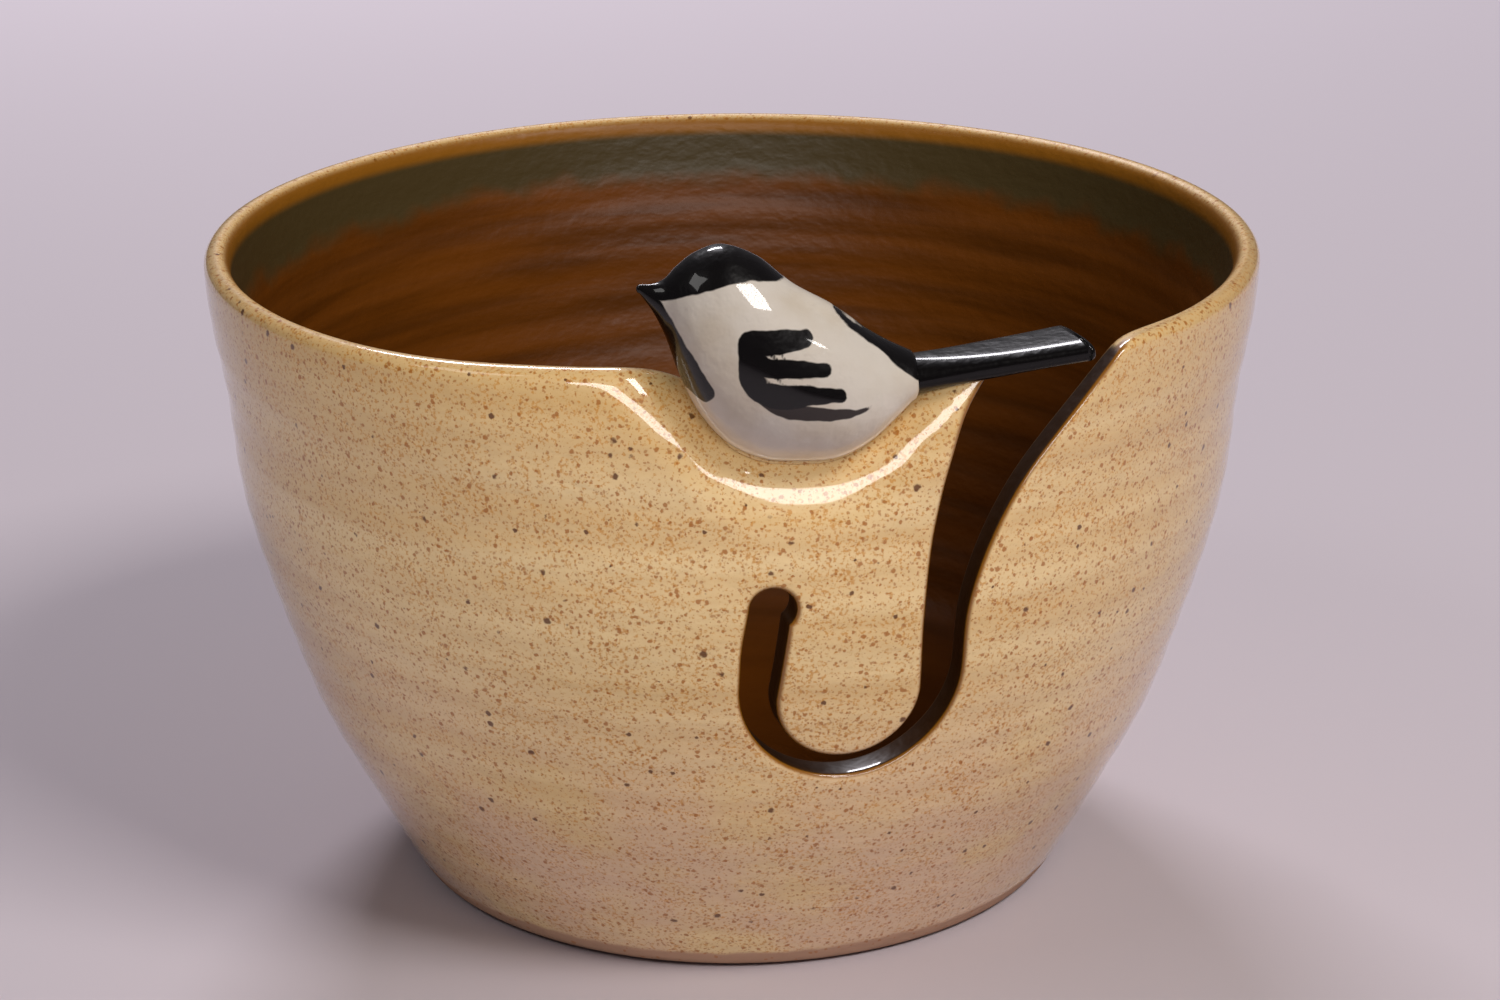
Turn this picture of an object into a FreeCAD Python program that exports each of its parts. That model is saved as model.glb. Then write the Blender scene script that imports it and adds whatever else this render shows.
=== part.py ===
import FreeCAD, Part
import math
import os

from FreeCAD import Vector

# Yarn bowl: a wheel-thrown stoneware bowl with a J-shaped yarn slot in its front wall, and a
# small hand-modelled bird luted into a dish pressed in the rim beside the slot.
# Millimetres.  +Z is up, the origin is the centre of the foot on the table, and the slot
# opens towards -Y.  Azimuths are counted from -Y towards +X.

# ---- driving dimensions: the thrown bowl ----
HEIGHT = 100.0            # table to the plain rim
RIM_RADIUS = 80.9         # outside, at the rim
FOOT_RADIUS = 51.8        # outside, at the table
FLOOR = 7.5               # clay under the flat middle of the inside
WALL = 5.6                # wall at half height
LIP = 3.6                 # wall at the lip
LIP_TAPER = 14.0          # height over which the wall thins to the lip
FOOT_EXTRA = 2.0          # how much thicker the wall is at the foot
FOOT_TAPER = 14.0
FOOT_RING_WIDTH = 7.0     # the trimmed ring that the bowl stands on
FOOT_RING_DEPTH = 2.0
FLOOR_CURVE = 17.0        # height of the sweep from the floor into the wall
FLOOR_FLAT = 16.0         # radius of the flat middle
HOLLOW_DEPTH = 1.2        # a soft hollow that the thrower's fingers left below the rim
HOLLOW_DROP = 21.0
HOLLOW_REACH = 11.0
SWELL_DEPTH = 0.6         # and a soft swell low in the belly
SWELL_HEIGHT = 29.0
SWELL_REACH = 9.0

# ---- driving dimensions: the yarn slot, heights measured down from the rim ----
HOOK_RADIUS = 15.9        # outer curve of the hook
TONGUE_RADIUS = 10.45     # end of the tongue inside the hook
HOOK_X = -1.4
HOOK_DROP = 45.4
TONGUE_X = -1.85
TONGUE_DROP = 47.5
BULB_RADIUS = 3.15        # the round hole that ends the hook
BULB_X = -13.4
BULB_DROP = 32.9
STEM_WIDTH = 6.4          # where the hook meets the stem
STEM_DROP = 36.0
MOUTH_LEFT_X = 14.8       # the mouth's two corners, at the rim
MOUTH_RIGHT_X = 38.5
SLOT_CLEAR = 15.0         # the cut starts this far outside the rim
SLOT_REACH = 65.0         # and runs in this far
SLOT_OVER = 4.0           # and opens this far above the rim

# ---- driving dimensions: the dish in the rim that the bird sits in ----
DISH_OFFSET = 24.4        # along the rim, from the slot's mouth to the dish's middle
DISH_CUT = 8.1            # clay taken off the rim there
DISH_LEFT = 14.6          # its half width towards the beak,
DISH_RIGHT = 17.5         # and towards the slot
CURL_ANGLE = 75.0         # how far the wall is rolled inwards
CURL_RADIUS = 7.5
CURL_HALF_WIDTH = 23.6
LEAN = 3.6                # the rim left of the dish leans in a little,
LEAN_RISE = 0.8           # and stands a little higher
LEAN_OFFSET = 23.5        # along the rim, from the dish's middle
LEAN_HALF_WIDTH = 26.0
LEAN_DEPTH = 35.0         # how far down the lean is felt

# ---- driving dimensions: the bird ----
BIRD_INSET = 8.0          # its middle line, inwards of the wall's outside
BIRD_LENGTH = 60.0        # beak to the end of the tail
BEAK_REACH = 21.4         # beak, ahead of the dish's middle
TAIL_ROOT = 15.0          # tail root, behind the dish's middle
TAIL_WIDTH = 12.0
TAIL_THICKNESS = 3.2
TAIL_ROOT_WIDTH = 8.6
TAIL_ROOT_THICKNESS = 5.4
TAIL_SLOPE = 8.5          # degrees that the tail rises
TAIL_END_SKEW = 1.2       # how much shorter the far corner of the end is
BIRD_EGG = 0.12           # how much fuller its flanks are below than above
BEAD = 0.9                # the thread of slip round the bird's base

# ---- how finely the surfaces are laid out ----
AROUND = 144              # control columns round the bowl
WALL_ROWS = 18            # control rows up each side
LIP_ROWS = 7              # and over the lip
FLOOR_ROWS = 6            # and round the floor's sweep
OVAL_STEPS = 16           # points round each section of the bird

WALL_ARC = RIM_RADIUS - 2.4                       # radius on which lengths along the rim are measured
DISH_AZIMUTH = math.asin(MOUTH_LEFT_X / WALL_ARC) - DISH_OFFSET / WALL_ARC
LEAN_AZIMUTH = DISH_AZIMUTH - LEAN_OFFSET / WALL_ARC


def bump(distance, half_width, power):
    """One at the middle, falling to nothing: the higher the power, the flatter the top."""
    return math.exp(-abs(distance / half_width) ** power)


def outer_radius(z):
    """The outside of the wall at height z: a parabola with two soft waves in it."""
    share = min(z / HEIGHT, 1.0)
    radius = FOOT_RADIUS + (RIM_RADIUS - FOOT_RADIUS) * (1.0 - (1.0 - share) ** 2)
    radius += SWELL_DEPTH * bump(z - SWELL_HEIGHT, SWELL_REACH, 2)
    return radius - HOLLOW_DEPTH * bump(z - (HEIGHT - HOLLOW_DROP), HOLLOW_REACH, 2)


def thickness(z, top):
    """The wall's horizontal thickness at height z, where the section's top is at top."""
    thinning = (WALL - LIP) * math.exp(-(top - z) / LIP_TAPER)
    return WALL - thinning + FOOT_EXTRA * math.exp(-z / FOOT_TAPER)


class Section:
    """The wall cut by the half-plane at one azimuth, grown by a skin on every side."""

    def __init__(self, azimuth, skin):
        along = (azimuth - DISH_AZIMUTH) * WALL_ARC
        lean = bump((azimuth - LEAN_AZIMUTH) * WALL_ARC, LEAN_HALF_WIDTH, 2)
        self.azimuth = azimuth
        self.skin = skin
        self.lean = LEAN * lean
        half_dish = DISH_LEFT if along < 0.0 else DISH_RIGHT
        self.top = HEIGHT + LEAN_RISE * lean - DISH_CUT * bump(along, half_dish, 3)
        self.curl = math.radians(CURL_ANGLE) * bump(along, CURL_HALF_WIDTH, 4)
        self.half_lip = thickness(self.top, self.top) / 2.0
        self.bend_from = self.top - self.half_lip - CURL_RADIUS * self.curl

    def middle(self, z):
        """The radius of the wall's middle line, before it is rolled in."""
        return outer_radius(z) - thickness(z, self.top) / 2.0

    def place(self, offset, z):
        """A point offset outwards from the middle line at height z, after leaning and rolling."""
        lean = self.lean * max(0.0, 1.0 - (HEIGHT - z) / LEAN_DEPTH) ** 2
        above = z - self.bend_from
        if above <= 0.0:
            radius = self.middle(z) + offset
            height = z
        else:
            angle = min(above / CURL_RADIUS, self.curl)
            past = above - CURL_RADIUS * angle
            flare = self.middle(z) - self.middle(self.bend_from)
            radius = self.middle(self.bend_from) - CURL_RADIUS * (1.0 - math.cos(angle))
            radius += (offset + flare) * math.cos(angle) - past * math.sin(angle)
            height = self.bend_from + CURL_RADIUS * math.sin(angle)
            height += (offset + flare) * math.sin(angle) + past * math.cos(angle)
        return self.in_space(radius - lean, height)

    def in_space(self, radius, height):
        """A point of this half-plane in the part's frame."""
        return Vector(radius * math.sin(self.azimuth), -radius * math.cos(self.azimuth), height)

    def points(self):
        """The section's control points: up the outside, over the lip, down and to the floor."""
        centre = self.top - self.half_lip
        round_lip = self.half_lip + self.skin
        points = []
        for row in range(WALL_ROWS):
            z = centre * row / WALL_ROWS
            points.append(self.place(thickness(z, self.top) / 2.0 + self.skin, z))
        for row in range(LIP_ROWS):
            angle = math.pi * row / (LIP_ROWS - 1)
            points.append(self.place(round_lip * math.cos(angle), centre + round_lip * math.sin(angle)))
        sweep_top = FLOOR + FLOOR_CURVE
        for row in range(1, WALL_ROWS + 1):
            z = centre + (sweep_top - centre) * row / WALL_ROWS
            points.append(self.place(-thickness(z, self.top) / 2.0 - self.skin, z))
        start = outer_radius(sweep_top) - thickness(sweep_top, self.top) - self.skin
        for row in range(1, FLOOR_ROWS + 1):
            angle = math.pi / 2.0 * row / FLOOR_ROWS
            radius = FLOOR_FLAT + (start - FLOOR_FLAT) * math.cos(angle)
            points.append(self.in_space(radius, sweep_top - FLOOR_CURVE * math.sin(angle)))
        return points


def wall_surface(skin):
    """One smooth face, closed round the bowl, from the foot over the lip to the floor."""
    columns = [Section(2.0 * math.pi * i / AROUND - math.pi, skin).points() for i in range(AROUND)]
    rows = len(columns[0])
    inner_knots = rows - 3
    surface = Part.BSplineSurface()
    surface.buildFromPolesMultsKnots(
        columns,
        [1] * (AROUND + 1),
        [4] + [1] * (inner_knots - 1) + [4],
        list(range(AROUND + 1)),
        list(range(inner_knots + 1)),
        True,
        False,
        3,
        3,
    )
    return surface.toShape()


def disc_inside(edge):
    """The flat face that closes a level ring."""
    return Part.Face(Part.Wire([edge]))


def turned_solid(skin=0.0):
    """The bowl before its slot is cut, as one closed solid."""
    face = wall_surface(skin)
    rings = [edge for edge in face.Edges if edge.BoundBox.ZLength < 0.01]
    rings = [edge for edge in rings if edge.BoundBox.XLength > FLOOR_FLAT]
    shell = Part.makeShell([face] + [disc_inside(edge) for edge in rings])
    shell.sewShape()
    solid = Part.makeSolid(shell)
    if solid.Volume < 0.0:
        solid.reverse()
    return solid


def slot_cutter():
    """The J-shaped prism that opens the front wall, run in along Y."""
    def at(x, drop):
        return Vector(x, -RIM_RADIUS - SLOT_CLEAR, HEIGHT - drop)

    hook_right = at(HOOK_X + HOOK_RADIUS, HOOK_DROP)
    hook_bottom = at(HOOK_X, HOOK_DROP + HOOK_RADIUS)
    hook_left = at(HOOK_X - HOOK_RADIUS, HOOK_DROP)
    tongue_left = at(TONGUE_X - TONGUE_RADIUS, TONGUE_DROP)
    tongue_bottom = at(TONGUE_X, TONGUE_DROP + TONGUE_RADIUS)
    tongue_right = at(TONGUE_X + TONGUE_RADIUS, TONGUE_DROP)
    bulb_left = at(BULB_X - BULB_RADIUS, BULB_DROP)
    bulb_top = at(BULB_X, BULB_DROP - BULB_RADIUS)
    leave = math.radians(47.0)
    bulb_right = at(BULB_X + BULB_RADIUS * math.cos(leave), BULB_DROP + BULB_RADIUS * math.sin(leave))
    stem_left = at(TONGUE_X + TONGUE_RADIUS - 0.4, STEM_DROP)
    stem_right = at(TONGUE_X + TONGUE_RADIUS - 0.4 + STEM_WIDTH, STEM_DROP)
    over_left = at(MOUTH_LEFT_X + 1.6, -LEAN_RISE - SLOT_OVER)
    over_right = at(MOUTH_RIGHT_X + 3.5, -LEAN_RISE - SLOT_OVER)

    up = Vector(0, 0, 1)
    right_side = Part.BSplineCurve()
    shoulder = at(MOUTH_RIGHT_X - 17.6, 19.5)
    corner = at(MOUTH_RIGHT_X - 5.4, 5.0)
    right_side.interpolate(
        Points=[hook_right, stem_right, shoulder, corner, over_right],
        InitialTangent=up,
        FinalTangent=Vector(0.7, 0, 0.7),
    )
    left_side = Part.BSplineCurve()
    horn = at(MOUTH_LEFT_X - 2.4, 6.2)
    neck = at(MOUTH_LEFT_X - 5.4, 21.3)
    left_side.interpolate(
        Points=[over_left, horn, neck, stem_left, tongue_right],
        InitialTangent=Vector(-0.35, 0, -0.94),
        FinalTangent=up * -1.0,
    )
    outer_arm = Part.BSplineCurve()
    outer_arm.interpolate(Points=[hook_left, bulb_left], InitialTangent=up, FinalTangent=up)
    edges = [
        right_side.toShape().reversed(),
        Part.Arc(hook_right, hook_bottom, hook_left).toShape(),
        outer_arm.toShape(),
        Part.Arc(bulb_left, bulb_top, bulb_right).toShape(),
        Part.LineSegment(bulb_right, tongue_left).toShape(),
        Part.Arc(tongue_left, tongue_bottom, tongue_right).toShape(),
        left_side.toShape().reversed(),
        Part.LineSegment(over_left, over_right).toShape(),
    ]
    wire = Part.Wire(Part.__sortEdges__(edges))
    return Part.Face(wire).extrude(Vector(0, SLOT_REACH, 0))


def foot_recess():
    """The shallow hollow that leaves a ring to stand on."""
    outer = FOOT_RADIUS - FOOT_RING_WIDTH
    inner = outer - FOOT_RING_DEPTH
    return Part.makeCone(outer, inner, FOOT_RING_DEPTH)


def bird_frame():
    """The bird's own axes: back along its tail, out from the bowl, and up."""
    back = Vector(math.cos(DISH_AZIMUTH), math.sin(DISH_AZIMUTH), 0)
    out = Vector(math.sin(DISH_AZIMUTH), -math.cos(DISH_AZIMUTH), 0)
    radius = outer_radius(HEIGHT - DISH_CUT) - BIRD_INSET
    return out * radius, back, out


def dish_crest():
    """The height of the rolled rim at the dish's middle."""
    middle = Section(DISH_AZIMUTH, 0.0)
    return middle.bend_from + (CURL_RADIUS + middle.half_lip) * math.sin(middle.curl)


# Upright sections of the bird's body: (behind the beak, middle above the crest, half height, half width).
BODY_SECTIONS = (
    (0.0, 22.5, 0.6, 0.5),
    (1.5, 21.4, 1.7, 1.3),
    (3.0, 20.2, 3.4, 2.8),
    (5.0, 18.4, 7.0, 5.5),
    (7.5, 16.6, 10.5, 7.8),
    (11.1, 15.1, 13.0, 9.1),
    (15.7, 13.3, 13.1, 9.8),
    (20.8, 11.0, 11.2, 10.0),
    (25.9, 9.5, 9.7, 9.5),
    (31.0, 8.4, 7.0, 8.0),
    (34.0, 8.6, 5.0, 6.2),
    (BEAK_REACH + TAIL_ROOT, 9.0, 3.4, 5.0),
)


def upright_oval(centre, side, half_height, half_width):
    """A closed ring in the upright plane that holds the direction side."""
    points = []
    for step in range(OVAL_STEPS):
        angle = 2.0 * math.pi * step / OVAL_STEPS
        fullness = 1.0 - BIRD_EGG * math.sin(angle)
        across = side * (half_width * fullness * math.cos(angle))
        points.append(centre + across + Vector(0, 0, half_height * math.sin(angle)))
    oval = Part.BSplineCurve()
    oval.interpolate(Points=points, PeriodicFlag=True)
    return Part.Wire([oval.toShape()])


def bird_blank(skin=0.0):
    """The bird's head and body, before its base is fitted to the rim."""
    origin, back, out = bird_frame()
    rings = []
    for behind, middle, half_height, half_width in BODY_SECTIONS:
        centre = origin + back * (behind - BEAK_REACH) + Vector(0, 0, dish_crest() + middle)
        rings.append(upright_oval(centre, out, half_height + skin, half_width + skin))
    return Part.makeLoft(rings, True, False)


def tail_blade():
    """The flat tail, from its root in the rump to its squared end."""
    origin, back, out = bird_frame()
    reach = BIRD_LENGTH - BEAK_REACH - TAIL_ROOT
    rise = math.tan(math.radians(TAIL_SLOPE))
    root = origin + back * TAIL_ROOT + Vector(0, 0, dish_crest() + BODY_SECTIONS[-1][1])
    rings = []
    for share in (0.0, 0.25, 0.5, 1.0):
        settled = 1.0 - (1.0 - share) ** 3
        half_width = (TAIL_ROOT_WIDTH + (TAIL_WIDTH - TAIL_ROOT_WIDTH) * share) / 2.0
        half_thick = (TAIL_ROOT_THICKNESS + (TAIL_THICKNESS - TAIL_ROOT_THICKNESS) * settled) / 2.0
        centre = root + back * (reach * share) + Vector(0, 0, rise * reach * share)
        skew = back * (TAIL_END_SKEW / 2.0 * share)
        rings.append(stadium(centre, out * half_width + skew, half_thick))
    return Part.makeLoft(rings, True, False)


def stadium(centre, half_width, half_thick):
    """A flat ring with round edges: half_width is a vector to its outer edge."""
    up = Vector(0, 0, half_thick)
    flat = half_width * (1.0 - half_thick / half_width.Length)
    corners = [centre + flat + up, centre - flat + up, centre - flat - up, centre + flat - up]
    return Part.Wire([
        Part.LineSegment(corners[0], corners[1]).toShape(),
        Part.Arc(corners[1], centre - half_width, corners[2]).toShape(),
        Part.LineSegment(corners[2], corners[3]).toShape(),
        Part.Arc(corners[3], centre + half_width, corners[0]).toShape(),
    ])


def luting_bead(plain, body, tail):
    """The thread of slip in the corner between the bird's base and the dish."""
    corner = bird_blank(BEAD).common(turned_solid(BEAD))
    return corner.cut(plain).cut(body).cut(tail)


def build_parts():
    """Every piece, by its node's name."""
    plain = turned_solid()
    blank = bird_blank()
    body = blank.cut(plain)
    tail = tail_blade().cut(plain)
    return {
        "thrown_bowl": plain.cut(slot_cutter()).cut(foot_recess()),
        "bird_body": body,
        "bird_tail": tail,
        "luting_bead": luting_bead(plain, blank, tail),
    }


if __name__ == "__main__":
    os.makedirs("parts", exist_ok=True)
    for node, shape in build_parts().items():
        shape.exportStep("parts/" + node + ".step")
        print(node, "solids:", len(shape.Solids), "valid:", shape.isValid(), "mm3:", round(shape.Volume))
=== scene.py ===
"""A wheel-thrown stoneware yarn bowl, with a hand-modelled bird luted into its rim.

Sizes are millimetres until a mesh is made, and metres from there on.  +Z is up, the origin is
the centre of the foot on the table, and the yarn slot opens towards -Y.
"""

import logging
import math
from dataclasses import dataclass, field
from enum import Enum
from typing import Any

import bmesh
import bpy
import numpy as np
from mathutils import Matrix, Vector
from mathutils.bvhtree import BVHTree
from mathutils.geometry import delaunay_2d_cdt


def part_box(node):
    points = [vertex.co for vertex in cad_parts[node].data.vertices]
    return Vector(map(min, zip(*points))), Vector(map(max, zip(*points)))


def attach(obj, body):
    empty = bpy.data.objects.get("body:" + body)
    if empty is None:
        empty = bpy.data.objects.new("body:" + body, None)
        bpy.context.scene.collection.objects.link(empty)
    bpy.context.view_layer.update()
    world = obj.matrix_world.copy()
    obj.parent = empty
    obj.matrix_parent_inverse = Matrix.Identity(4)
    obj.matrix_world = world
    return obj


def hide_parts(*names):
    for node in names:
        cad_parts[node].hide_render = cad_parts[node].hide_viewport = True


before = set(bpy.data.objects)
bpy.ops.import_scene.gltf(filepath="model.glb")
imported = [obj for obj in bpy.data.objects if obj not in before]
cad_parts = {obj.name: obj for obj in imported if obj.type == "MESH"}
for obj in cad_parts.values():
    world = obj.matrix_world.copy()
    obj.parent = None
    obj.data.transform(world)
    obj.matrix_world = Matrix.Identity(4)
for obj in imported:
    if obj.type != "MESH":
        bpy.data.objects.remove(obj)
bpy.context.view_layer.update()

log = logging.getLogger("yarn_bowl")

MM = 0.001
BODY = "root"
EASE = {"interpolation_type": "SMOOTHSTEP"}
COLOUR = {"data_type": "RGBA", "out": 2}


class Side(Enum):
    """Which face of the wall a sheet of mesh makes."""

    OUTSIDE = 1.0
    INSIDE = -1.0


# ---------------------------------------------------------------- small helpers


def linear(sheet: str) -> tuple[float, float, float, float]:
    """Turns an sRGB hex colour into the linear colour that a socket takes.

    Args:
        sheet: six hex digits, such as "a87c52".

    Returns:
        Red, green, blue and an alpha of one.
    """
    channels = [int(sheet[i:i + 2], 16) / 255.0 for i in (0, 2, 4)]
    straight = [c / 12.92 if c <= 0.04045 else ((c + 0.055) / 1.055) ** 2.4 for c in channels]
    return (*straight, 1.0)


class Wiring:
    """Adds nodes to one shader or geometry tree."""

    def __init__(self, tree: bpy.types.NodeTree) -> None:
        """Keeps the tree, emptied."""
        self.tree = tree
        self.tree.nodes.clear()

    def add(self, kind: str, inputs: dict | None = None, out: int | str = 0, **settings: Any) -> Any:
        """Adds one node with its settings and links.

        Args:
            kind: the node's type name.
            inputs: socket name or number, to the socket that feeds it or the value it holds.
            out: the output that is wanted.
            **settings: the node's own properties.

        Returns:
            The wanted output, or the node where it has none.
        """
        node = self.tree.nodes.new(kind)
        for name, value in settings.items():
            setattr(node, name, value)
        for key, value in (inputs or {}).items():
            if isinstance(value, bpy.types.NodeSocket):
                self.tree.links.new(value, node.inputs[key])
            else:
                node.inputs[key].default_value = value
        return node.outputs[out] if node.outputs else node


def bump_share(distance: np.ndarray, half_width: float, power: float) -> np.ndarray:
    """One at the middle, falling to nothing: the higher the power, the flatter the top."""
    return np.exp(-np.abs(distance / half_width) ** power)


def smooth_step(value: np.ndarray, low: float, high: float) -> np.ndarray:
    """Zero below low, one above high, and an even ease between them."""
    share = np.clip((value - low) / (high - low), 0.0, 1.0)
    return share * share * (3.0 - 2.0 * share)


def curve_through(points: list[tuple[float, ...]], step: float) -> np.ndarray:
    """A smooth curve through a few points.

    Args:
        points: the points to pass through, in order.
        step: the spacing of the result.

    Returns:
        Rows of points, the first and the last included.
    """
    knots = np.asarray(points, float)
    chord = np.linalg.norm(np.diff(knots, axis=0), axis=1)
    place = np.concatenate([[0.0], np.cumsum(chord)])
    slopes = np.gradient(knots, place, axis=0)
    count = max(2, int(round(place[-1] / step)) + 1)
    wanted = np.linspace(0.0, place[-1], count)
    span = np.clip(np.searchsorted(place, wanted, side="right") - 1, 0, len(knots) - 2)
    width = chord[span][:, None]
    t = ((wanted - place[span]) / chord[span])[:, None]
    start, end = knots[span], knots[span + 1]
    rise = (2 * t**3 - 3 * t**2 + 1) * start + (-2 * t**3 + 3 * t**2) * end
    lean = (t**3 - 2 * t**2 + t) * slopes[span] + (t**3 - t**2) * slopes[span + 1]
    return rise + lean * width


def arc(centre: tuple[float, float], radius: float, start: float, end: float, step: float) -> np.ndarray:
    """Points on a circle from one angle to another, in degrees."""
    count = max(3, int(abs(math.radians(end - start)) * radius / step) + 1)
    angles = np.radians(np.linspace(start, end, count))
    return np.column_stack([centre[0] + radius * np.cos(angles), centre[1] + radius * np.sin(angles)])


def mesh_object(name: str, points: np.ndarray, faces: list, attributes: dict[str, np.ndarray]) -> bpy.types.Object:
    """Makes a welded, smooth, outward-facing mesh.

    Args:
        name: the object's name.
        points: millimetre positions, one row each.
        faces: point numbers of each face.
        attributes: point attributes by name, one value for each point.

    Returns:
        The object, linked to the scene, at the origin.
    """
    mesh = bpy.data.meshes.new(name)
    mesh.from_pydata((points * MM).tolist(), [], faces)
    for key, values in attributes.items():
        layer = mesh.attributes.new(key, "FLOAT", "POINT")
        layer.data.foreach_set("value", np.asarray(values, np.float32))
    work = bmesh.new()
    work.from_mesh(mesh)
    bmesh.ops.remove_doubles(work, verts=work.verts, dist=2e-6)
    loose = [vert for vert in work.verts if not vert.link_faces]
    bmesh.ops.delete(work, geom=loose, context="VERTS")
    bmesh.ops.recalc_face_normals(work, faces=work.faces)
    work.to_mesh(mesh)
    work.free()
    mesh.polygons.foreach_set("use_smooth", [True] * len(mesh.polygons))
    piece = bpy.data.objects.new(name, mesh)
    bpy.context.scene.collection.objects.link(piece)
    return piece


def ring_faces(rings: int, around: int, closed: bool = True) -> list[tuple[int, ...]]:
    """Joins a grid of rings, each ring's points numbered in turn.

    Args:
        rings: how many rings there are.
        around: how many points each has.
        closed: whether a ring's last point joins its first.

    Returns:
        Four point numbers for each face.
    """
    faces = []
    for ring in range(rings - 1):
        for i in range(around if closed else around - 1):
            j = (i + 1) % around
            low, high = ring * around, (ring + 1) * around
            faces.append((low + i, low + j, high + j, high + i))
    return faces


# ---------------------------------------------------------------- the thrown bowl


@dataclass
class BowlSizes:
    """The bowl's sizes in millimetres, with the rim's taken from the frame."""

    height: float = 100.0
    rim_radius: float = field(default_factory=lambda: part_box("thrown_bowl")[1][0] / MM + 0.3)
    foot_radius: float = 51.8
    floor: float = 7.5
    wall: float = 5.6
    lip: float = 3.6
    lip_taper: float = 14.0
    foot_extra: float = 2.0
    foot_taper: float = 14.0
    foot_ring: float = 7.0
    foot_recess: float = 2.0
    foot_round: float = 1.3
    floor_curve: float = 17.0
    floor_flat: float = 16.0
    hollow_depth: float = 1.2
    hollow_drop: float = 21.0
    hollow_reach: float = 11.0
    swell_depth: float = 0.6
    swell_height: float = 29.0
    swell_reach: float = 9.0


@dataclass
class DishSizes:
    """The dish rolled into the rim for the bird, in millimetres and degrees."""

    offset: float = 24.4
    cut: float = 8.1
    left: float = 17.0
    right: float = 17.5
    curl_angle: float = 68.0
    curl_radius: float = 12.0
    curl_half_width: float = 25.5
    lean: float = 3.6
    lean_rise: float = 0.8
    lean_offset: float = 23.5
    lean_half_width: float = 26.0
    lean_depth: float = 35.0


@dataclass
class SlotSizes:
    """The J-shaped yarn slot, in millimetres, with drops measured down from the rim."""

    hook_radius: float = 15.9
    tongue_radius: float = 10.45
    hook_x: float = -1.4
    hook_drop: float = 45.4
    tongue_x: float = -1.85
    tongue_drop: float = 47.5
    bulb_radius: float = 3.15
    bulb_x: float = -13.4
    bulb_drop: float = 32.9
    stem_width: float = 6.4
    stem_drop: float = 36.0
    mouth_left: float = 14.8
    mouth_right: float = 38.5
    edge_round: float = 1.0


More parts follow.
